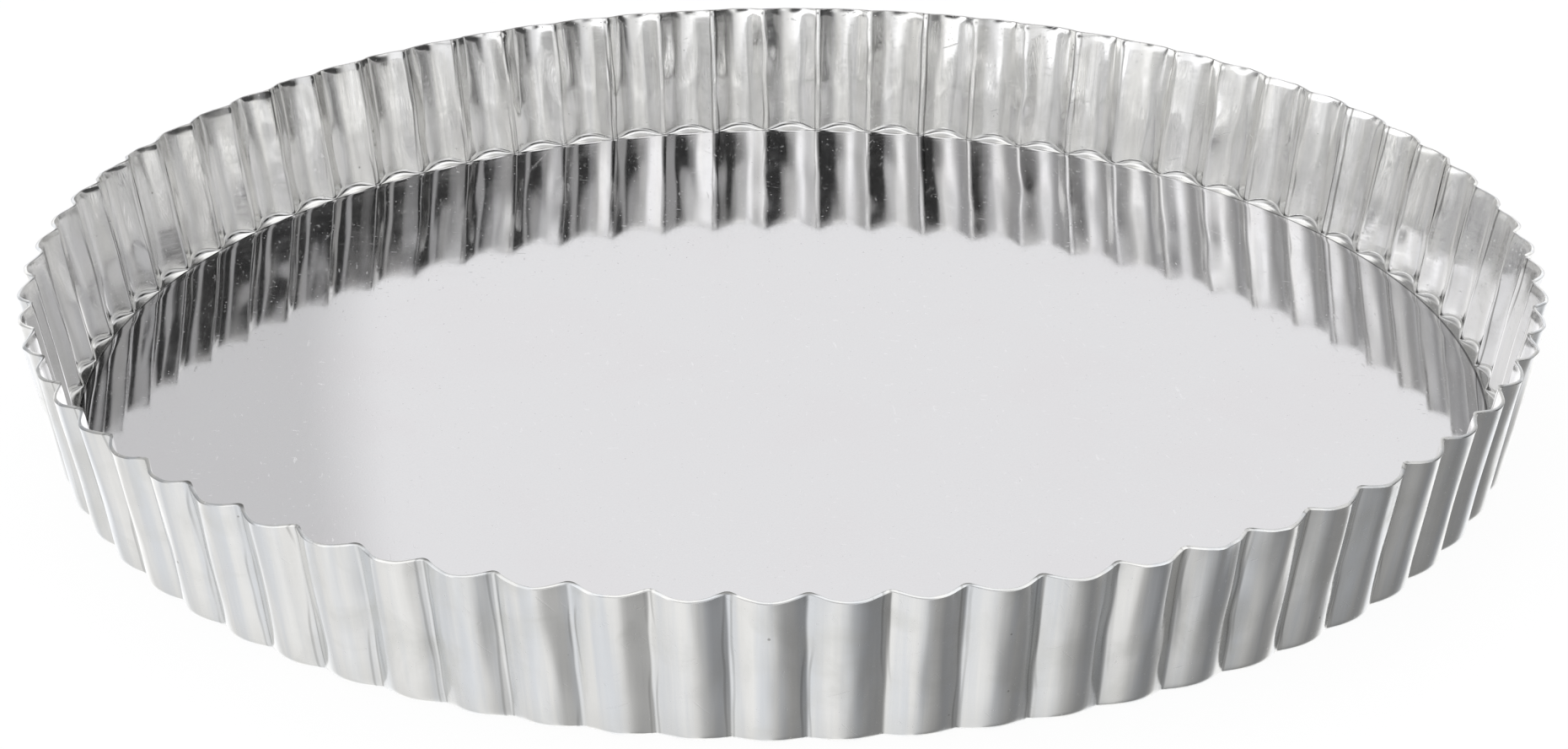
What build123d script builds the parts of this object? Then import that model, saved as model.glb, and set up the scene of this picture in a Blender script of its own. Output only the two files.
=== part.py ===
from build123d import *
import math
import os

# A fluted tart pan with a loose base: a flared, fluted ring of thin sheet whose foot
# turns inward into a flat seat, and a flat disc that lies on that seat.
# Millimetres and degrees. +Z is up, and the origin is the centre of the underside.

# Driving dimensions
RIM_DIAMETER = 254.0        # over the flutes, at the rim
HEIGHT = 25.4               # from the underside to the highest point of the rim
SHEET = 0.5                 # thickness of the sheet in both pieces
FLUTES = 72                 # lobes round the wall, with a crease between each two
RIM_FLUTE_DEPTH = 2.2       # from the creases to the lobes at the rim, on one face of the sheet
FOOT_FLUTE_DEPTH = 1.8      # the same at the foot of the wall
CREASE_RADIUS = 0.5         # of a crease, in plan, on the outside of the wall
LOBE_FLARE = 10.7           # of the lobes, from vertical
LOBE_BEND = 2.1             # outside radius where a lobe turns in to the seat
CREASE_BEND = 0.9           # outside radius where a crease turns in to the seat
BEND_STEPS = 4              # flat bands that make up the bend
RIM_FALL = 0.22             # how far the cut rim falls for each millimetre outward
SEAT_WIDTH = 6.0            # of the flat seat, inward from the feet of the creases
BASE_CLEARANCE = 0.35       # between the base's edge and the feet of the creases
RIM_MARGIN = 2.0            # how far the untrimmed wall stands above the rim

# Worked out from them: each line is (radius where it meets the floor, flare in radians)
LOBE_FOOT = RIM_DIAMETER / 2 - HEIGHT * math.tan(math.radians(LOBE_FLARE))
CREASE_FOOT = LOBE_FOOT - FOOT_FLUTE_DEPTH
CREASE_RIM = RIM_DIAMETER / 2 - RIM_FLUTE_DEPTH
LOBE_LINE = (LOBE_FOOT, math.radians(LOBE_FLARE))
CREASE_LINE = (CREASE_FOOT, math.atan((CREASE_RIM - CREASE_FOOT) / HEIGHT))


def inner_line(line):
    """The same line on the inside of the sheet, where it meets the top of the seat."""
    foot, flare = line
    return foot + SHEET * math.tan(flare) - SHEET / math.cos(flare), flare


def flared_radius(rise, line, bend):
    """Radius, at a rise above the flat foot, of a face that turns up through a bend into a
    flared line of the wall."""
    foot, flare = line
    if rise >= bend * (1 - math.sin(flare)):
        return foot + rise * math.tan(flare)
    centre = foot + bend * math.tan(flare) - bend / math.cos(flare)
    return centre + math.sqrt(bend**2 - (bend - rise) ** 2)


def polar(radius, angle, height):
    """A point given by its radius, its angle in degrees and its height."""
    turned = math.radians(angle)
    return Vector(radius * math.cos(turned), radius * math.sin(turned), height)


def fluted_outline(crease, lobe, crease_radius, height):
    """A closed level outline of round lobes joined by small round creases, each arc tangent to
    the next. crease and lobe are the outline's smallest and largest radii."""
    pitch = 360 / FLUTES
    crease_centre = polar(crease + crease_radius, pitch / 2, 0)
    reach = crease_centre.X - lobe
    lobe_radius = (reach**2 + crease_centre.Y**2 - crease_radius**2) / (2 * (crease_radius - reach))
    lobe_centre = Vector(lobe - lobe_radius, 0, 0)
    share = lobe_radius / (lobe_radius + crease_radius)
    joint = lobe_centre + (crease_centre - lobe_centre) * share
    joint_radius = math.hypot(joint.X, joint.Y)
    joint_angle = math.degrees(math.atan2(joint.Y, joint.X))
    edges = []
    for flute in range(FLUTES):
        middle = (flute + 0.5) * pitch
        before = polar(joint_radius, middle - joint_angle, height)
        top = polar(lobe, middle, height)
        after = polar(joint_radius, middle + joint_angle, height)
        dip = polar(crease, middle + pitch / 2, height)
        following = polar(joint_radius, middle + pitch - joint_angle, height)
        edges.append(Edge.make_three_point_arc(before, top, after))
        edges.append(Edge.make_three_point_arc(after, dip, following))
    return Wire(edges)


def fluted_body(crease_line, lobe_line, floor, sheet_inside, top):
    """The solid bounded by one face of the wall: the outside of the ring, or its hollow.
    sheet_inside is the sheet's thickness for the hollow, and 0 for the outside."""
    lobe_bend = LOBE_BEND - sheet_inside
    crease_bend = CREASE_BEND - sheet_inside
    turn = math.pi / 2 - lobe_line[1]
    rises = [lobe_bend * (1 - math.cos(turn * step / BEND_STEPS)) for step in range(BEND_STEPS + 1)]
    outlines = []
    for rise in rises + [top - floor]:
        crease = flared_radius(rise, crease_line, crease_bend)
        lobe = flared_radius(rise, lobe_line, lobe_bend)
        outlines.append(fluted_outline(crease, lobe, CREASE_RADIUS + sheet_inside, floor + rise))
    return Solid.make_loft(outlines, ruled=True)


def above_rim():
    """The space over the cut rim, which falls outward like a shallow cone from the creases."""
    inner = CREASE_FOOT - SEAT_WIDTH
    outer = RIM_DIAMETER / 2 + RIM_MARGIN
    crest = CREASE_RIM - SHEET / math.cos(CREASE_LINE[1])
    ceiling = HEIGHT + 2 * RIM_MARGIN
    section = Polyline(
        (inner, 0, HEIGHT + (crest - inner) * RIM_FALL),
        (outer, 0, HEIGHT + (crest - outer) * RIM_FALL),
        (outer, 0, ceiling),
        (inner, 0, ceiling),
        close=True,
    )
    return revolve(make_face(section), axis=Axis.Z)


def crease_seat_radius():
    """Radius where the inside of a crease meets the flat seat."""
    return flared_radius(0, inner_line(CREASE_LINE), CREASE_BEND - SHEET)


def fluted_ring():
    """The wall and its seat, as one piece of bent sheet."""
    outside = fluted_body(CREASE_LINE, LOBE_LINE, 0, 0, HEIGHT + RIM_MARGIN)
    hollow_top = HEIGHT + 2 * RIM_MARGIN
    hollow = fluted_body(inner_line(CREASE_LINE), inner_line(LOBE_LINE), SHEET, SHEET, hollow_top)
    hole = Cylinder(crease_seat_radius() - SEAT_WIDTH, 4 * SHEET)
    return outside - hollow - hole - above_rim()


def loose_base():
    """The flat disc that lies on the seat."""
    radius = crease_seat_radius() - BASE_CLEARANCE
    return Pos(0, 0, SHEET) * Cylinder(radius, SHEET, align=(Align.CENTER, Align.CENTER, Align.MIN))


os.makedirs("parts", exist_ok=True)
export_step(fluted_ring(), "parts/fluted_ring.step")
export_step(loose_base(), "parts/loose_base.step")
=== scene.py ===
import math

import bpy
import numpy as np
from mathutils import Matrix, Vector


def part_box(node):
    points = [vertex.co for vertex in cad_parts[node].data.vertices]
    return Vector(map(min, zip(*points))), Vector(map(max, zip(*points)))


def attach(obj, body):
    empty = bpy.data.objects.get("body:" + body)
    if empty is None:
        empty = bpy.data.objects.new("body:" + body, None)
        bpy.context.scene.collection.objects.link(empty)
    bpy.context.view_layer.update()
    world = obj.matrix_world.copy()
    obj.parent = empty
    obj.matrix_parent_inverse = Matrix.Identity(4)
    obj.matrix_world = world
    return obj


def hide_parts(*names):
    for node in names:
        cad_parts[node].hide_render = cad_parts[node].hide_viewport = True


# A fluted tart pan with a loose base, in metres. The ring and the base are made again here as
# fine meshes of thin sheet, in the places that the frame gives them.

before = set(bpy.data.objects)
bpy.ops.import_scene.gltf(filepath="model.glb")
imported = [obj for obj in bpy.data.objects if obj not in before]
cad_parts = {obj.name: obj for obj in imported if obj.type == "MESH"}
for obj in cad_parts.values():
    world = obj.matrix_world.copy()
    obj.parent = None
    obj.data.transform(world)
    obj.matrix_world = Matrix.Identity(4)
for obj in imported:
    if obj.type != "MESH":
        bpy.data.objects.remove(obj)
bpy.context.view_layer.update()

MM = 0.001
_, ring_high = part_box("fluted_ring")
base_low, base_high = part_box("loose_base")

# The sheet and its flutes
SHEET = base_high.z - base_low.z
FLUTES = 72
PITCH = math.tau / FLUTES
RIM_RADIUS = 127.0 * MM
RIM_FLUTE_DEPTH = 2.2 * MM           # from the creases to the lobes at the rim
FOOT_FLUTE_DEPTH = 1.8 * MM          # the same at the foot
CREASE_RADIUS = 0.75 * MM            # of a crease, in plan, on the outside
LOBE_ROUND = 0.86                    # 1 is a plain arc from crease to crease, less leaves flat flanks
LOBE_FLARE = math.radians(10.7)      # of the lobes, from vertical
LOBE_BEND = 2.1 * MM                 # outside radius where a lobe turns in to the seat
CREASE_BEND = 0.9 * MM               # outside radius where a crease turns in to the seat
SEAT_WIDTH = 6.0 * MM
RIM_FALL = 0.22                      # how far the cut rim falls for each metre outward
EDGE_ROUND = 0.1 * MM                # rounding of the cut edges
HEIGHT = ring_high.z
BASE_RADIUS = base_high.x
BASE_DISH = 0.38 * MM                # how far the middle of the base sags below its edge

# Each line of the wall: the radius where it meets the floor, and its flare
LOBE_LINE = (RIM_RADIUS - HEIGHT * math.tan(LOBE_FLARE), LOBE_FLARE)
CREASE_FOOT = LOBE_LINE[0] - FOOT_FLUTE_DEPTH
CREASE_RIM = RIM_RADIUS - RIM_FLUTE_DEPTH
CREASE_LINE = (CREASE_FOOT, math.atan((CREASE_RIM - CREASE_FOOT) / HEIGHT))
CREST = CREASE_RIM - SHEET / math.cos(CREASE_LINE[1])

# How finely the meshes are divided
LOBE_CUTS, FLANK_CUTS, CREASE_CUTS = 10, 2, 6
WALL_CUTS, BEND_CUTS, SEAT_CUTS = 17, 7, 2
RIM_CUT = 0.4 * MM                   # between the finer rows next to the rim
BASE_AROUND, BASE_ACROSS = 288, 60


# ---------------------------------------------------------------- unevenness of pressed sheet

# How far the press and handling move the wall from its full size
WALL_SLACK = 0.12 * MM               # inward, everywhere
LOBE_SLACK = 0.24 * MM               # further inward, of the shallowest lobe at the rim
LEAN = 0.3 * MM                      # sideways, of the most crooked crease at the rim
BOW = 0.22 * MM                      # sideways, of the most bowed crease half-way up
SOFT_WAVES, FINE_WAVES = 0.07 * MM, 0.022 * MM
KINKS_INWARD, KINKS_ASIDE = 0.08 * MM, 0.28 * MM
MOST_OUTWARD = 0.02 * MM             # waves and kinks never push the wall further out than this
FLAT_BELOW, WAVY_OVER = 2.5 * MM, 9 * MM    # the foot stays true, and the waves grow over this height
RIM_ROLL, RIM_ROLL_HEIGHT = 0.08 * MM, 2.0 * MM
RIM_DIP = 0.035 * MM                 # of the cut rim's own waves
DENTS = 60

# How far the base's surface waves
BASE_WAVES = 0.0022 * MM
LONGEST_BASE_WAVE = 70 * MM

rolls = np.random.default_rng(72)


def smooth_step(values):
    """Turns values into a smooth rise from 0 to 1, flat outside that range."""
    held = np.clip(values, 0, 1)
    return held * held * (3 - 2 * held)


def ripples(angles, heights, around, up, waves=40):
    """Random soft waves that close round the pan, about 1 high. around gives the fewest and most waves
    in a turn, and up the most in a metre of height."""
    total = np.zeros(np.broadcast(angles, heights).shape)
    for _ in range(waves):
        turns = rolls.integers(around[0], around[1])
        rise = rolls.uniform(-up, up) * math.tau
        total += np.cos(turns * angles + rise * heights + rolls.uniform(0, math.tau))
    return total / math.sqrt(waves)


def near_flutes(angles, values, offset):
    """One value for each flute, spread over it and fading to nothing half a flute away."""
    place = (angles % math.tau) / PITCH - offset
    which = np.round(place).astype(int) % FLUTES
    return values[which] * np.cos(math.pi * np.abs(place - np.round(place))) ** 2


def crease_kinks(angles, heights, amount):
    """Short random waves up each crease, where the sheet gathers, gone a quarter of a flute away."""
    place = (angles % math.tau) / PITCH
    which = np.round(place).astype(int) % FLUTES
    kinks = np.zeros(angles.shape)
    for _ in range(3):
        rate = rolls.uniform(25, 120, FLUTES)[which] * math.tau
        kinks += np.sin(rate * heights + rolls.uniform(0, math.tau, FLUTES)[which]) / 3
    share = rolls.uniform(0.2, 1.15, FLUTES)[which] ** 2 * amount
    return share * kinks * np.cos(math.pi * np.abs(place - np.round(place))) ** 6


def dents(angles, heights):
    """Depth of the small upright dents, which come where the sheet is drawn in at the creases."""
    depths = np.zeros(angles.shape)
    for _ in range(DENTS):
        where = PITCH * (rolls.integers(0, FLUTES) + rolls.normal(0, 0.07))
        height = rolls.uniform(3, 20) * MM
        depth = rolls.uniform(0.04, 0.16) * MM
        across, tall = rolls.uniform(0.6, 1.1) * MM, rolls.uniform(2.0, 6.0) * MM
        aside = np.angle(np.exp(1j * (angles - where))) * RIM_RADIUS
        depths += depth * np.exp(-((aside / across) ** 2) - ((heights - height) / tall) ** 2)
    return depths


def press_marks(radii, angles, heights):
    """The ring's wall as the press leaves it: no two flutes alike, with small dents and a wavy rim."""
    high = smooth_step((heights - FLAT_BELOW) / WAVY_OVER)
    rise = heights / HEIGHT
    lobes = near_flutes(angles, rolls.uniform(-LOBE_SLACK, 0, FLUTES), 0.5)
    lean = near_flutes(angles, rolls.uniform(-LEAN, LEAN, FLUTES), 0)
    bow = near_flutes(angles, rolls.uniform(-BOW, BOW, FLUTES), 0)
    inward = lobes * rise - WALL_SLACK
    inward += ripples(angles, heights, (80, 200), 45) * SOFT_WAVES
    inward += ripples(angles, heights, (200, 340), 30) * FINE_WAVES
    inward += crease_kinks(angles, heights, KINKS_INWARD)
    inward -= dents(angles, heights)
    swing = lean * rise + bow * np.sin(math.pi * rise) + crease_kinks(angles, heights, KINKS_ASIDE)
    rim_waves = ripples(angles, 0, (5, 70), 0) - 2.4
    rim_dip = smooth_step((rise - 0.6) / 0.4) * rim_waves * RIM_DIP
    up_the_roll = np.clip((heights - HEIGHT + RIM_ROLL_HEIGHT) / (0.75 * RIM_ROLL_HEIGHT), 0, 1)
    moved = np.minimum(inward, MOST_OUTWARD) * high + RIM_ROLL * up_the_roll**2
    return radii + moved, angles + swing * high / RIM_RADIUS, heights + rim_dip


# ---------------------------------------------------------------- shape of the ring

def inner_line(line):
    """The same line on the inside of the sheet, where it meets the top of the seat."""
    foot, flare = line
    return foot + SHEET * math.tan(flare) - SHEET / math.cos(flare), flare


def flared_radius(rise, line, bend):
    """Radius of a face that turns up through a bend into the flared wall, at a rise above its foot."""
    foot, flare = line
    if rise >= bend * (1 - math.sin(flare)):
        return foot + rise * math.tan(flare)
    centre = foot + bend * math.tan(flare) - bend / math.cos(flare)
    return centre + math.sqrt(max(bend**2 - (bend - rise) ** 2, 0))


def outline(crease, lobe, crease_radius):
    """One turn of the fluted outline, as radii and angles: round lobes, flat flanks, round creases."""
    crease_middle = (crease + crease_radius) * np.exp(0.5j * PITCH)
    reach = crease_middle.real - lobe
    plain_arc = (reach**2 + crease_middle.imag**2 - crease_radius**2) / (2 * (crease_radius - reach))
    lobe_radius = plain_arc * LOBE_ROUND
    lobe_middle = lobe - lobe_radius
    apart = crease_middle - lobe_middle
    swing = np.angle(apart) - math.acos(min((lobe_radius + crease_radius) / abs(apart), 1))
    lobe_arc = lobe_middle + lobe_radius * np.exp(1j * np.linspace(-swing, swing, LOBE_CUTS + 1))
    crease_turns = np.linspace(swing, PITCH - swing, CREASE_CUTS + 1) + math.pi
    crease_arc = crease_middle + crease_radius * np.exp(1j * crease_turns)
    next_lobe = lobe_arc[0] * np.exp(1j * PITCH)
    steps = np.arange(1, FLANK_CUTS) / FLANK_CUTS
    up_flank = lobe_arc[-1] + (crease_arc[0] - lobe_arc[-1]) * steps
    down_flank = crease_arc[-1] + (next_lobe - crease_arc[-1]) * steps
    one_flute = np.concatenate([lobe_arc, up_flank, crease_arc, down_flank])
    middles = PITCH * (np.arange(FLUTES) + 0.5)
    points = (one_flute[None, :] * np.exp(1j * middles)[:, None]).ravel()
    return np.abs(points), np.angle(points)


def face_rows(crease_line, lobe_line, floor, sheet_inside):
    """Rows of points up one face of the wall, each as radii, angles and heights."""
    lobe_bend = LOBE_BEND - sheet_inside
    crease_bend = CREASE_BEND - sheet_inside
    turn = math.pi / 2 - lobe_line[1]
    rises = [lobe_bend * (1 - math.cos(turn * i / BEND_CUTS)) for i in range(BEND_CUTS)]
    bend_top = lobe_bend * (1 - math.sin(lobe_line[1]))
    rim = HEIGHT - EDGE_ROUND - floor
    rises += list(np.linspace(bend_top, rim - 4 * RIM_CUT, WALL_CUTS))
    rises += [rim - 3 * RIM_CUT, rim - 2 * RIM_CUT, rim - RIM_CUT, rim - EDGE_ROUND, rim]
    rows = []
    for rise in rises:
        crease = flared_radius(rise, crease_line, crease_bend)
        lobe = flared_radius(rise, lobe_line, lobe_bend)
        radii, angles = outline(crease, lobe, CREASE_RADIUS + sheet_inside)
        share = max(rise - bend_top, 0) / (rim - bend_top)
        flare = np.interp(radii, [crease, lobe], [crease_line[1], lobe_line[1]])
        fall = (radii + (rim - rise) * np.tan(flare) - CREST) * RIM_FALL * share
        rows.append((radii - fall * np.tan(flare), angles, floor + rise - fall))
    return rows


def rim_rows(inner, outer):
    """Rows over the cut rim, from a small burr inside the wall to the outside, where it is lower."""
    rows = []
    for across, lift in ((-0.1, 0.3), (-0.13, 0.8), (-0.03, 1.0), (0.95, 0.15), (0.995, 0.05)):
        radii = inner[0] + (outer[0] - inner[0]) * across
        angles = inner[1] + np.angle(np.exp(1j * (outer[1] - inner[1]))) * across
        heights = inner[2] + (outer[2] - inner[2]) * across + EDGE_ROUND * lift
        rows.append((radii, angles, heights))
    return rows


def seat_rows(foot, height, hole):
    """Rows across the flat seat, from its hole out to the foot of the wall."""
    rows = []
    for i in range(SEAT_CUTS):
        share = i / SEAT_CUTS
        rows.append((hole + (foot[0] - hole) * share, foot[1], np.full(len(foot[0]), height)))
    return rows


def ring_section():
    """All rows round the ring's section: seat, inside, rim, outside and underside."""
    inside = face_rows(inner_line(CREASE_LINE), inner_line(LOBE_LINE), SHEET, SHEET)
    outside = face_rows(CREASE_LINE, LOBE_LINE, 0, 0)
    hole = inside[0][0].min() - SEAT_WIDTH
    rows = seat_rows(inside[0], SHEET, hole) + inside
    rows += rim_rows(inside[-1], outside[-1])
    rows += outside[::-1] + seat_rows(outside[0], 0, hole)[::-1]
    return rows


def ring_mesh(name):
    """The ring's sheet, with its press marks."""
    radii, angles, heights = (np.array(part) for part in zip(*ring_section()))
    radii, angles, heights = press_marks(radii, angles, heights)
    points = np.stack([radii * np.cos(angles), radii * np.sin(angles), heights], axis=2)
    return grid_object(name, points)


def grid_object(name, points):
    """A mesh object from a grid of points that closes on itself both ways."""
    tall, around = points.shape[:2]
    index = np.arange(tall * around).reshape(tall, around)
    above = np.roll(index, -1, axis=0)
    quads = np.stack(
        [index, np.roll(index, -1, axis=1), np.roll(above, -1, axis=1), above], axis=2
    ).reshape(-1, 4)
    mesh = bpy.data.meshes.new(name)
    mesh.from_pydata(points.reshape(-1, 3).tolist(), [], quads.tolist())
    mesh.shade_smooth()
    piece = bpy.data.objects.new(name, mesh)
    bpy.context.collection.objects.link(piece)
    return piece


# ---------------------------------------------------------------- shape of the base

def dished(points):
    """The base's points, sunk a little towards the middle and very slightly wavy inside the seat."""
    x, y = points[:, 0], points[:, 1]
    inside = smooth_step((112 * MM - np.hypot(x, y)) / (72 * MM))
    waves = np.zeros(len(points))
    for _ in range(14):
        heading, length = rolls.uniform(0, math.tau), rolls.uniform(26 * MM, LONGEST_BASE_WAVE)
        along = (x * math.cos(heading) + y * math.sin(heading)) / length
        waves += np.cos(math.tau * along + rolls.uniform(0, math.tau)) * length / LONGEST_BASE_WAVE
    points[:, 2] -= inside * (BASE_DISH + BASE_WAVES * waves)
    return points


def base_mesh(name):
    """The flat disc, with rounded cut edges."""
    around, across = BASE_AROUND, BASE_ACROSS
    top, low = base_high.z, base_low.z
    edge, shoulder = BASE_RADIUS - EDGE_ROUND, EDGE_ROUND * 0.3
    section = [(BASE_RADIUS * i / across, top) for i in range(1, across)]
    section += [(edge, top), (BASE_RADIUS - shoulder, top - shoulder), (BASE_RADIUS, top - EDGE_ROUND)]
    section += [(BASE_RADIUS, low + EDGE_ROUND), (BASE_RADIUS - shoulder, low + shoulder), (edge, low)]
    section += [(BASE_RADIUS * i / across, low) for i in range(across - 1, 0, -1)]
    turns = np.arange(around) * math.tau / around
    points = [(0, 0, top)]
    for radius, height in section:
        points += [(radius * math.cos(t), radius * math.sin(t), height) for t in turns]
    points.append((0, 0, low))
    points = dished(np.array(points)).tolist()
    faces = []
    last = len(points) - 1
    for i in range(around):
        j = (i + 1) % around
        faces.append((0, 1 + i, 1 + j))
        for row in range(len(section) - 1):
            here, there = 1 + row * around, 1 + (row + 1) * around
            faces.append((here + i, there + i, there + j, here + j))
        end = 1 + (len(section) - 1) * around
        faces.append((end + i, last, end + j))
    mesh = bpy.data.meshes.new(name)
    mesh.from_pydata(points, [], faces)
    mesh.shade_smooth()
    piece = bpy.data.objects.new(name, mesh)
    bpy.context.collection.objects.link(piece)
    return piece


# ---------------------------------------------------------------- finishes

# Colours of the tin where it is marked or painted with shade, and how deep the marks of each piece are
# Rubbed tin, and also painted shade near the foot of the wall
DULL_TIN_AND_FOOT_SHADE = (0.70, 0.70, 0.67, 1)
DRAWN_TIN = (0.62, 0.62, 0.61, 1)
# Painted shade beside the creases
CREASE_SHADE_TIN = (0.3, 0.3, 0.29, 1)
SMUDGED_TIN = (0.93, 0.89, 0.905, 1)
# Darker colour for the top of the rim
DARK_RIM_TOP = (0.25, 0.25, 0.24, 1)
PIT = (0.22, 0.21, 0.19, 1)
SHALLOW_PIT = (0.45, 0.44, 0.44, 1)
EDGE_SHADE = (0.12, 0.12, 0.12, 1)
RING_RELIEF, BASE_RELIEF = 0.014 * MM, 0.003 * MM


def add(tree, kind, inputs=None, **settings):
    """A node with its settings, and each input set to a value or joined to another node's output."""
    made = tree.nodes.new(kind)
    for name, value in settings.items():
        setattr(made, name, value)
    for key, value in (inputs or {}).items():
        if isinstance(value, bpy.types.NodeSocket):
            tree.links.new(value, made.inputs[key])
        else:
            made.inputs[key].default_value = value
    return made


def sums(tree, operation, *values):
    """The result of one step of arithmetic on numbers or outputs."""
    return add(tree, "ShaderNodeMath", dict(enumerate(values)), operation=operation).outputs[0]


def spread(tree, value, low, high, new_low=0.0, new_high=1.0):
    """A value moved smoothly from one range to another, and held at its ends."""
    inputs = {"Value": value, "From Min": low, "From Max": high, "To Min": new_low, "To Max": new_high}
    return add(tree, "ShaderNodeMapRange", inputs, interpolation_type="SMOOTHSTEP").outputs[0]


def blend(tree, share, first, second):
    """Two colours mixed by a share."""
    inputs = {"Factor": share, "A": first, "B": second}
    return add(tree, "ShaderNodeMix", inputs, data_type="RGBA").outputs["Result"]


def marked(tree, colour, mark, strength, over):
    """A colour with another one laid over it where a mark is, at a strength from 0 to 1."""
    return blend(tree, sums(tree, "MULTIPLY", mark, strength), colour, over)


def stretched(tree, place, x, y, z):
    """A place scaled differently each way, so that marks come out long one way and narrow the other."""
    return add(tree, "ShaderNodeVectorMath", {0: place, 1: (x, y, z)}, operation="MULTIPLY").outputs[0]


def effect(name, inputs, outputs):
    """An empty effect that finishes share, with its named inputs and outputs."""
    tree = bpy.data.node_groups.new(name, "ShaderNodeTree")
    for label, kind, value in inputs:
        socket = tree.interface.new_socket(label, in_out="INPUT", socket_type=kind)
        if value is not None:
            socket.default_value = value
    for label in outputs:
        tree.interface.new_socket(label, in_out="OUTPUT", socket_type="NodeSocketFloat")
    return tree, tree.nodes.new("NodeGroupInput").outputs, tree.nodes.new("NodeGroupOutput").inputs


def rolled_grain():
    """The fine lines that the rolling mill leaves in sheet, in a place already stretched along them."""
    tree, given, made = effect(
        "rolled grain",
        [("Place", "NodeSocketVector", None), ("Fineness", "NodeSocketFloat", 900.0)],
        ["Grain", "Height"],
    )
    lines = add(tree, "ShaderNodeTexNoise", {
        "Vector": given["Place"], "Scale": given["Fineness"], "Detail": 4.0, "Roughness": 0.65,
    }).outputs[0]
    grain = spread(tree, lines, 0.34, 0.66)
    tree.links.new(grain, made["Grain"])
    tree.links.new(sums(tree, "MULTIPLY", lines, 0.5), made["Height"])
    return tree


def tin_specks():
    """Small pits and pinheads in the tin coat: few, round and unevenly spread."""
    tree, given, made = effect(
        "tin specks",
        [
            ("Place", "NodeSocketVector", None),
            ("Per Metre", "NodeSocketFloat", 420.0),
            ("Size", "NodeSocketFloat", 0.16),
            ("Share", "NodeSocketFloat", 0.3),
        ],
        ["Specks", "Mottle"],
    )
    cells = add(tree, "ShaderNodeTexVoronoi", {"Vector": given["Place"], "Scale": given["Per Metre"]})
    pick = add(tree, "ShaderNodeSeparateColor", {"Color": cells.outputs["Color"]}).outputs
    width = sums(tree, "MULTIPLY", given["Size"], pick[1])
    dots = sums(tree, "LESS_THAN", cells.outputs["Distance"], width)
    chosen = sums(tree, "LESS_THAN", pick[0], given["Share"])
    tree.links.new(sums(tree, "MULTIPLY", dots, chosen), made["Specks"])
    finer = sums(tree, "MULTIPLY", given["Per Metre"], 4.0)
    mottle = add(tree, "ShaderNodeTexNoise", {
        "Vector": given["Place"], "Scale": finer, "Detail": 2.0,
    }).outputs[0]
    tree.links.new(spread(tree, mottle, 0.3, 0.7), made["Mottle"])
    return tree


def handling():
    """Marks of use: soft smudges from fingers and cloths, and thin scratches that cross each other."""
    tree, given, made = effect(
        "handling",
        [
            ("Place", "NodeSocketVector", None),
            ("Smudges", "NodeSocketFloat", 60.0),
            ("Scratches", "NodeSocketFloat", 55.0),
        ],
        ["Smudge", "Scratch"],
    )
    clouds = add(tree, "ShaderNodeTexNoise", {
        "Vector": given["Place"], "Scale": given["Smudges"], "Detail": 5.0, "Roughness": 0.55,
        "Distortion": 0.6,
    }).outputs[0]
    tree.links.new(spread(tree, clouds, 0.45, 0.72), made["Smudge"])
    total = None
    for turn in ((0.5, 0.2, 0.35), (-0.3, 0.7, 1.4), (0.9, -0.4, 2.4)):
        turned = add(tree, "ShaderNodeVectorRotate", {"Vector": given["Place"], "Rotation": turn},
                     rotation_type="EULER_XYZ").outputs[0]
        thin = stretched(tree, turned, 1.0, 42.0, 42.0)
        lines = add(tree, "ShaderNodeTexNoise", {
            "Vector": thin, "Scale": given["Scratches"], "Detail": 1.0,
        }).outputs[0]
        here = spread(tree, lines, 0.735, 0.78)
        total = here if total is None else sums(tree, "MAXIMUM", total, here)
    tree.links.new(total, made["Scratch"])
    return tree


def crease_shade_lines():
    """Painted shade: thin dark lines on both sides of each crease, broken along their length."""
    tree, given, made = effect(
        "painted crease shade",
        [
            ("Place", "NodeSocketVector", None),
            ("Flutes", "NodeSocketFloat", float(FLUTES)),
            ("Breaks", "NodeSocketFloat", 110.0),
        ],
        ["Lines"],
    )
    x, y, _ = add(tree, "ShaderNodeSeparateXYZ", {"Vector": given["Place"]}).outputs
    turns = sums(tree, "MULTIPLY", sums(tree, "ARCTAN2", y, x), given["Flutes"])
    broken = add(tree, "ShaderNodeTexNoise", {
        "Vector": stretched(tree, given["Place"], 1, 1, 0.35), "Scale": given["Breaks"], "Detail": 2.0,
    }).outputs[0]
    here = sums(tree, "COSINE", sums(tree, "ADD", turns, spread(tree, broken, 0.3, 0.7, -0.3, 0.3)))
    near, not_on = spread(tree, here, 0.88, 0.94), spread(tree, here, 0.955, 0.99, 1.0, 0.0)
    beside = sums(tree, "MULTIPLY", near, not_on)
    tree.links.new(sums(tree, "MULTIPLY", beside, spread(tree, broken, 0.44, 0.6)), made["Lines"])
    return tree


def use(tree, group, **inputs):
    """An effect placed in a finish, with its own values."""
    node = add(tree, "ShaderNodeGroup", node_tree=group)
    for label, value in inputs.items():
        socket = node.inputs[label.replace("_", " ")]
        if isinstance(value, bpy.types.NodeSocket):
            tree.links.new(value, socket)
        else:
            socket.default_value = value
    return node.outputs


def new_finish(name):
    """A bare metal material, with its nodes, its shader's inputs and the place on the piece."""
    finish = bpy.data.materials.new(name)
    finish.use_nodes = True
    tree = finish.node_tree
    tree.nodes.clear()
    surface = add(tree, "ShaderNodeBsdfPrincipled", {"Metallic": 1.0, "IOR": 1.45})
    tree.links.new(surface.outputs[0], add(tree, "ShaderNodeOutputMaterial").inputs[0])
    place = add(tree, "ShaderNodeTexCoord").outputs["Object"]
    return finish, tree, surface.inputs, place


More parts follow.
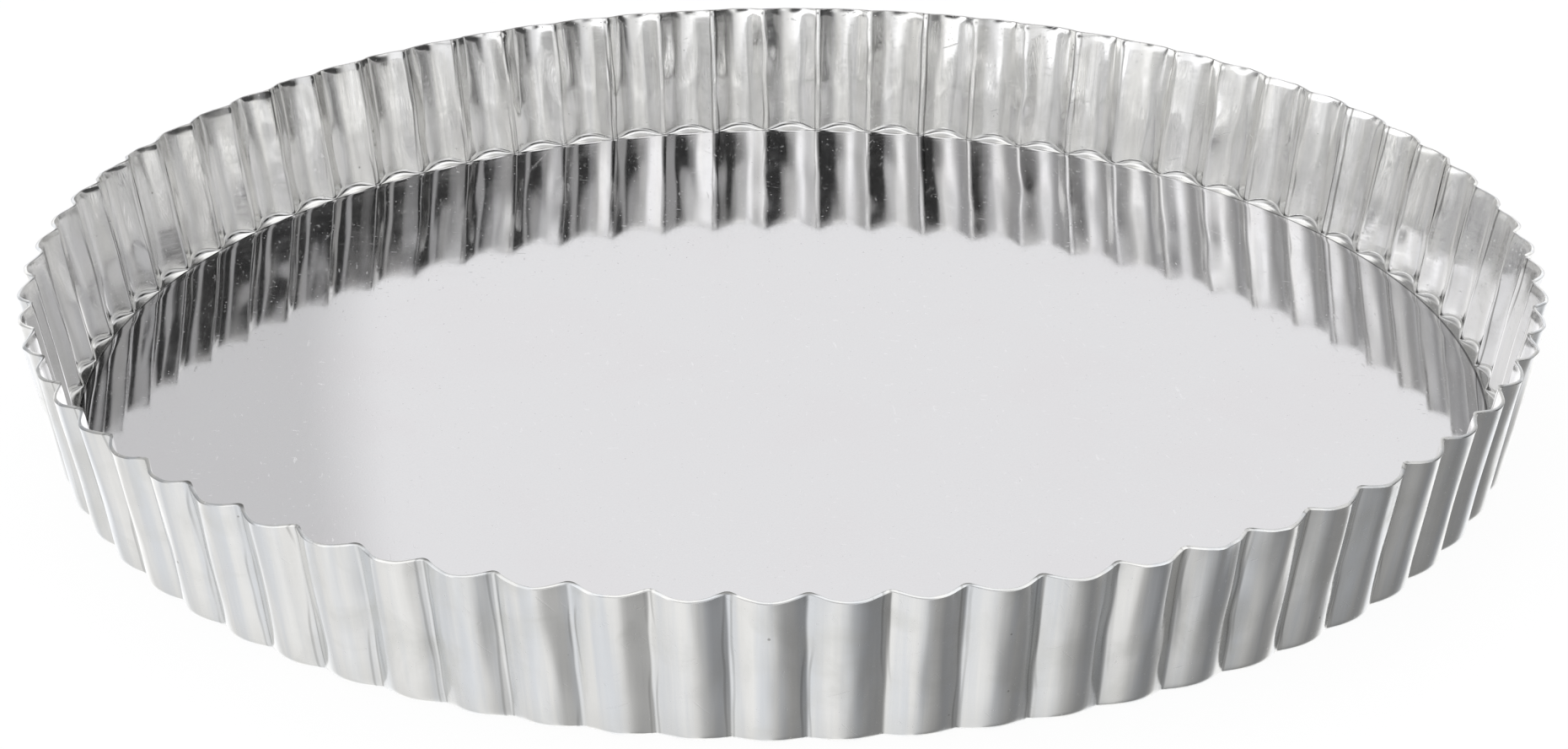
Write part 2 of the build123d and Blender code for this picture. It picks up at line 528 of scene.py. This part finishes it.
def ring_finish(grain, specks, marks, creases):
    """Pressed tinplate: bright drawing marks up the wall, rubbed matt in places, with painted shade near
    the foot and beside the creases, and smoother inside.
    """
    finish, tree, surface, place = new_finish("ring tinplate")
    height_up = add(tree, "ShaderNodeSeparateXYZ", {"Vector": place}).outputs[2]
    level = stretched(tree, place, 1, 1, 0)
    outward = add(tree, "ShaderNodeVectorMath", {0: level}, operation="NORMALIZE").outputs[0]
    faces = add(tree, "ShaderNodeVectorMath", {
        0: outward, 1: add(tree, "ShaderNodeNewGeometry").outputs["Normal"],
    }, operation="DOT_PRODUCT").outputs["Value"]
    outside = spread(tree, faces, -0.1, 0.1)
    round_and_up = add(tree, "ShaderNodeVectorMath", {
        0: stretched(tree, outward, 0.12, 0.12, 0), 1: stretched(tree, place, 0, 0, 0.05),
    }, operation="ADD").outputs[0]
    drawn = use(tree, grain, Place=round_and_up, Fineness=620.0)
    rubbed = use(tree, grain, Place=stretched(tree, place, 0.12, 0.12, 1.0), Fineness=1400.0)
    pits = use(tree, specks, Place=place, Per_Metre=360.0, Size=0.09, Share=0.12)
    worn = use(tree, marks, Place=place, Smudges=95.0, Scratches=46.0)
    crease_shade_marks = use(tree, creases, Place=place)
    # Painted shade: the wall's colour darkens towards its foot, and the foot is also rougher.
    foot_shade = spread(tree, height_up, 1 * MM, 7 * MM, 1.0, 0.0)
    rubbed_and_foot_shade = sums(tree, "MAXIMUM", worn["Smudge"], sums(tree, "MULTIPLY", foot_shade, 0.6))

    tint = add(tree, "ShaderNodeTexNoise", {
        "Vector": round_and_up, "Scale": 360.0, "Detail": 5.0,
    }).outputs[0]
    cloudy = spread(tree, tint, 0.36, 0.64)
    inner_tin = blend(tree, cloudy, (0.965, 0.96, 0.94, 1), (0.955, 0.955, 0.955, 1))
    outer_tin = blend(tree, cloudy, (0.88, 0.875, 0.85, 1), (0.74, 0.76, 0.78, 1))
    bright = blend(tree, outside, inner_tin, outer_tin)
    crests = spread(tree, height_up, HEIGHT - 0.3 * MM, HEIGHT - 0.12 * MM)
    # Smudges rub the tin matt. Near the foot the same colour is painted shade.
    colour = marked(tree, bright, rubbed_and_foot_shade, spread(tree, outside, 0, 1, 0.3, 0.6), DULL_TIN_AND_FOOT_SHADE)
    colour = marked(tree, colour, drawn["Grain"], 0.10, DRAWN_TIN)
    # Painted shade: dark lines beside the creases, stronger inside the ring than outside.
    colour = marked(tree, colour, crease_shade_marks["Lines"], spread(tree, outside, 0, 1, 0.85, 0.45), CREASE_SHADE_TIN)
    # The top 0.3 mm of the rim is darker, in patches along it.
    colour = marked(tree, colour, crests, spread(tree, tint, 0.4, 0.55), DARK_RIM_TOP)
    colour = marked(tree, colour, pits["Specks"], 0.55, PIT)
    tree.links.new(colour, surface["Base Color"])

    base = spread(tree, outside, 0, 1, 0.055, 0.11)
    rough = sums(tree, "MULTIPLY_ADD", rubbed_and_foot_shade, 0.09, base)
    rough = sums(tree, "MULTIPLY_ADD", rubbed["Grain"], 0.05, rough)
    rough = sums(tree, "MULTIPLY_ADD", worn["Scratch"], 0.15, rough)
    tree.links.new(rough, surface["Roughness"])

    height = sums(tree, "MULTIPLY", rubbed["Height"], 0.14)
    height = sums(tree, "MULTIPLY_ADD", drawn["Height"], 1.6, height)
    height = sums(tree, "SUBTRACT", height, sums(tree, "MULTIPLY", worn["Scratch"], 0.5))
    height = sums(tree, "SUBTRACT", height, sums(tree, "MULTIPLY", pits["Specks"], 1.2))
    bump = add(tree, "ShaderNodeBump", {"Strength": 1.0, "Distance": RING_RELIEF, "Height": height})
    tree.links.new(bump.outputs[0], surface["Normal"])
    return finish


def base_finish(grain, specks, marks):
    """Flat tinplate, almost a mirror, with a fine even mottle, pinhead specks and thin scratches."""
    finish, tree, surface, place = new_finish("base tinplate")
    lines = use(tree, grain, Place=stretched(tree, place, 1.0, 0.22, 1.0), Fineness=1700.0)
    pits = use(tree, specks, Place=place, Per_Metre=850.0, Size=0.15, Share=0.42)
    worn = use(tree, marks, Place=place, Smudges=34.0, Scratches=30.0)

    colour = marked(tree, (0.965, 0.96, 0.97, 1), pits["Mottle"], 0.45, (0.92, 0.915, 0.93, 1))
    colour = marked(tree, colour, worn["Smudge"], 0.25, SMUDGED_TIN)
    colour = marked(tree, colour, pits["Specks"], 0.3, SHALLOW_PIT)
    level = stretched(tree, place, 1, 1, 0)
    from_middle = add(tree, "ShaderNodeVectorMath", {0: level}, operation="LENGTH").outputs["Value"]
    edge = spread(tree, from_middle, BASE_RADIUS - 0.55 * MM, BASE_RADIUS - 0.35 * MM)
    colour = marked(tree, colour, edge, 0.85, EDGE_SHADE)
    tree.links.new(colour, surface["Base Color"])

    rough = spread(tree, lines["Grain"], 0, 1, 0.045, 0.065)
    rough = sums(tree, "MULTIPLY_ADD", pits["Specks"], 0.28, rough)
    rough = sums(tree, "MULTIPLY_ADD", worn["Smudge"], 0.02, rough)
    rough = sums(tree, "MULTIPLY_ADD", worn["Scratch"], 0.16, rough)
    tree.links.new(rough, surface["Roughness"])

    height = sums(tree, "MULTIPLY", lines["Height"], 0.1)
    height = sums(tree, "MULTIPLY_ADD", pits["Mottle"], 0.12, height)
    height = sums(tree, "SUBTRACT", height, sums(tree, "MULTIPLY", pits["Specks"], 1.0))
    height = sums(tree, "SUBTRACT", height, sums(tree, "MULTIPLY", worn["Scratch"], 0.5))
    bump = add(tree, "ShaderNodeBump", {"Strength": 1.0, "Distance": BASE_RELIEF, "Height": height})
    tree.links.new(bump.outputs[0], surface["Normal"])
    return finish


# ---------------------------------------------------------------- studio

# The pale backdrop behind the pan, from its middle to its left edge, and what is beyond that edge
BACKDROP = 0.78
COOLNESS = 1.01                      # how much bluer than grey all the light is
BACKDROP_EDGE = [(-180, BACKDROP), (-173.8, BACKDROP), (-173.2, 0.57)]

# The light round the pan, in belts from the table up to overhead. Each belt starts and ends at two
# elevations and gives brightness by bearing, with 0 towards the front and 90 to the right.
BELTS = [
    (-90, -12, [
        (-180, 1.2), (-140, 1.2), (-112, 0.82), (-80, 0.86), (-45, 0.94), (-15, 0.86), (5, 0.70),
        (20, 0.52), (45, 0.37), (75, 0.26), (95, 0.27), (112, 0.42), (130, 1.1), (180, 1.2),
    ]),
    (-3, 7, [
        (-180, 0.8), (-120, 0.8), (-95, 1.2), (-25, 1.25), (-5, 1.0), (20, 0.7), (34, 0.25), (46, 0.05),
        (118, 0.05), (126, 0.5), (150, 0.8), (180, 0.8),
    ]),
    (9.5, 14, [
        (-180, 1.2), (-150, 1.1), (-125, 0.8), (-78, 0.75), (-60, 0.06), (-2, 0.05), (10, 0.5),
        (22, 1.0), (40, 0.95), (58, 0.5), (96, 0.5), (112, 0.4), (132, 0.45), (150, 1.05), (180, 1.2),
    ]),
    (16, 18.5, [
        (-180, 1.35), (-155, 1.25), (-140, 0.85), (-112, 0.6), (-92, 0.34), (-48, 0.34), (-12, 0.5),
        (20, 0.8), (50, 0.72), (110, 0.5), (132, 0.55), (150, 1.25), (180, 1.35),
    ]),
    (21.5, 25, [
        *BACKDROP_EDGE, (-150, 0.57), (-115, 0.6), (-92, 0.6), (-40, 0.6), (20, 0.72), (60, 0.72),
        (100, 0.6), (122, 0.38), (138, 0.45), (155, 0.7), (163, BACKDROP), (180, BACKDROP),
    ]),
    (29, 40, [
        *BACKDROP_EDGE, (-155, 0.48), (-132, 0.36), (-112, 0.3), (-98, 0.33), (-85, 0.42),
        (-72, 0.55), (-60, 0.78), (-50, 0.96), (-38, 0.98), (-28, 0.76), (-18, 0.46), (-9, 0.32),
        (0, 0.22), (14, 0.16), (28, 0.025), (70, 0.03), (79, 0.3), (92, 0.3), (102, 0.03), (130, 0.025),
        (138, 0.4), (146, 0.6), (156, BACKDROP), (180, BACKDROP),
    ]),
    (42.5, 46, [
        (-180, 0.9), (-150, 0.6), (-130, 0.35), (-112, 0.3), (-98, 0.33), (-85, 0.42), (-72, 0.6),
        (-58, 0.66), (-30, 0.72), (-16, 0.55), (0, 0.5), (14, 0.45), (26, 0.32), (74, 0.3), (86, 0.45),
        (112, 0.35), (128, 0.6), (150, 0.85), (180, 0.9),
    ]),
    (56, 64, [(-180, 1.2), (0, 1.2), (180, 1.2)]),
    (77, 90, [(-180, 0.6), (0, 0.64), (180, 0.6)]),
]


def spread_evenly(tree, value, low, high):
    """A value moved in a straight line from a range to 0 to 1."""
    inputs = {"Value": value, "From Min": low, "From Max": high}
    return add(tree, "ShaderNodeMapRange", inputs).outputs[0]


def belt_light(tree, turn, stops):
    """One belt's light, from its brightness at each bearing."""
    ramp = add(tree, "ShaderNodeValToRGB", {"Fac": turn})
    marks = ramp.color_ramp.elements
    marks[0].position, marks[1].position = 0, 1
    for angle, _ in stops[1:-1]:
        marks.new((angle + 180) / 360)
    for mark, (_, brightness) in zip(marks, stops):
        mark.color = (brightness, brightness, brightness * COOLNESS, 1)
    return ramp.outputs[0]


def make_light():
    """Soft light from all round the pan, the belts melting into each other between their elevations."""
    world = bpy.data.worlds.new("studio")
    bpy.context.scene.world = world
    world.use_nodes = True
    tree = world.node_tree
    tree.nodes.clear()
    way = add(tree, "ShaderNodeTexCoord").outputs["Generated"]
    x, y, z = add(tree, "ShaderNodeSeparateXYZ", {"Vector": way}).outputs
    bearing = sums(tree, "ARCTAN2", x, sums(tree, "MULTIPLY", y, -1.0))
    turn = spread_evenly(tree, bearing, -math.pi, math.pi)
    elevation = sums(tree, "MULTIPLY", sums(tree, "ARCSINE", z), 180 / math.pi)
    light, last_top = None, None
    for bottom, top, stops in BELTS:
        belt = belt_light(tree, turn, stops)
        if light is None:
            light = belt
        else:
            light = blend(tree, spread(tree, elevation, last_top, bottom), light, belt)
        last_top = top
    back = add(tree, "ShaderNodeBackground", {"Color": light, "Strength": 1.0})
    tree.links.new(back.outputs[0], add(tree, "ShaderNodeOutputWorld").inputs[0])


def make_floor():
    """A plain white table, lit evenly, with only a faint shadow where the pan stands."""
    mesh = bpy.data.meshes.new("table")
    far = 3.0
    corners = [(-far, -far, 0), (far, -far, 0), (far, far, 0), (-far, far, 0)]
    mesh.from_pydata(corners, [], [(0, 1, 2, 3)])
    table = bpy.data.objects.new("table", mesh)
    table.location.z = -0.0001
    bpy.context.collection.objects.link(table)
    paper = bpy.data.materials.new("white table")
    paper.use_nodes = True
    tree = paper.node_tree
    tree.nodes.clear()
    glow = add(tree, "ShaderNodeEmission", {"Color": (1, 1, 1, 1), "Strength": 0.93})
    matt = add(tree, "ShaderNodeBsdfDiffuse", {"Color": (0.11, 0.11, 0.11, 1)})
    both = add(tree, "ShaderNodeAddShader", {0: glow.outputs[0], 1: matt.outputs[0]})
    tree.links.new(both.outputs[0], add(tree, "ShaderNodeOutputMaterial").inputs[0])
    mesh.materials.append(paper)
    table.visible_glossy = False


# ---------------------------------------------------------------- camera

def make_camera():
    """A long lens, looking down a little over 24 degrees at the front of the pan."""
    pitch, roll = math.radians(24.66), math.radians(-0.2)
    turn = math.radians(-1.6)
    away = 4.106 * CREST
    aim = Vector((0.0016 * CREST, -0.4344 * CREST, HEIGHT))
    back = Vector((0, -math.cos(pitch), math.sin(pitch)))
    level = Vector((1, 0, 0))
    up = back.cross(level)
    right = math.cos(roll) * level + math.sin(roll) * up
    up = -math.sin(roll) * level + math.cos(roll) * up
    place = Matrix((right, up, back)).transposed().to_4x4()
    place.translation = aim + back * away
    data = bpy.data.cameras.new("camera")
    data.lens, data.sensor_width = 76.0, 36.0
    camera = bpy.data.objects.new("camera", data)
    camera.matrix_world = Matrix.Rotation(turn, 4, "Z") @ place
    bpy.context.collection.objects.link(camera)
    bpy.context.scene.camera = camera


make_camera()
make_light()
make_floor()
bpy.context.scene.view_settings.view_transform = "Standard"

effects = rolled_grain(), tin_specks(), handling()
ring = ring_mesh("ring_sheet")
base = base_mesh("base_sheet")
ring.data.materials.append(ring_finish(*effects, crease_shade_lines()))
base.data.materials.append(base_finish(*effects))
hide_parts("fluted_ring")
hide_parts("loose_base")
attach(ring, "ring")
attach(base, "base")
